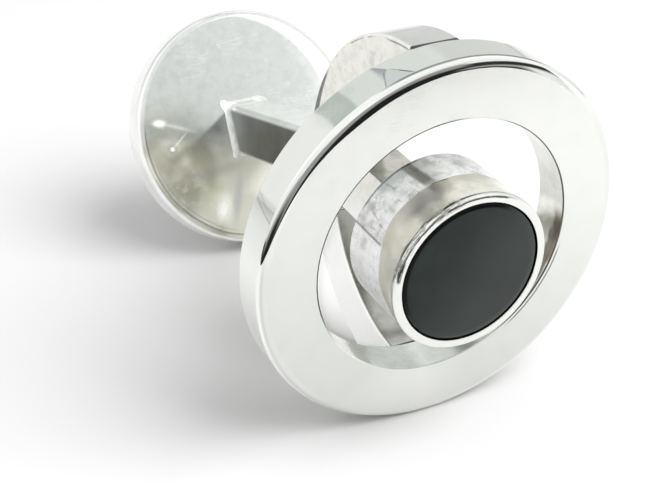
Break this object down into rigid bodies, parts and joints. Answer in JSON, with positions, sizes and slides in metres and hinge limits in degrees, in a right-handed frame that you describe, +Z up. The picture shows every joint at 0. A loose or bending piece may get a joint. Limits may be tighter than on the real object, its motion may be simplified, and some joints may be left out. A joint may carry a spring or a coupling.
{
  "type": "round cufflink",
  "caption": "Round cufflink: an open silver ring on a sawn bow, with a cup of flat black onyx in its middle, a sloping post and a round toggle disc.",
  "frame": {"origin": "on the surface the cufflink lies on, under the middle of its bounding box", "axes": "+Z up from the surface, +Y back from the front ring to the toggle disc, +X to the right as seen from the front; the plane x = 0 is the plane of symmetry"},
  "size_m": [0.02, 0.0302, 0.0201],
  "materials": {
    "silver": "hand-finished sterling silver, satin front face, polished edges, light tarnish in the corners",
    "onyx": "flat, polished black onyx"
  },
  "bodies": {
    "root": {"silver_frame": "silver", "onyx": "onyx"}
  },
  "joints": []
}
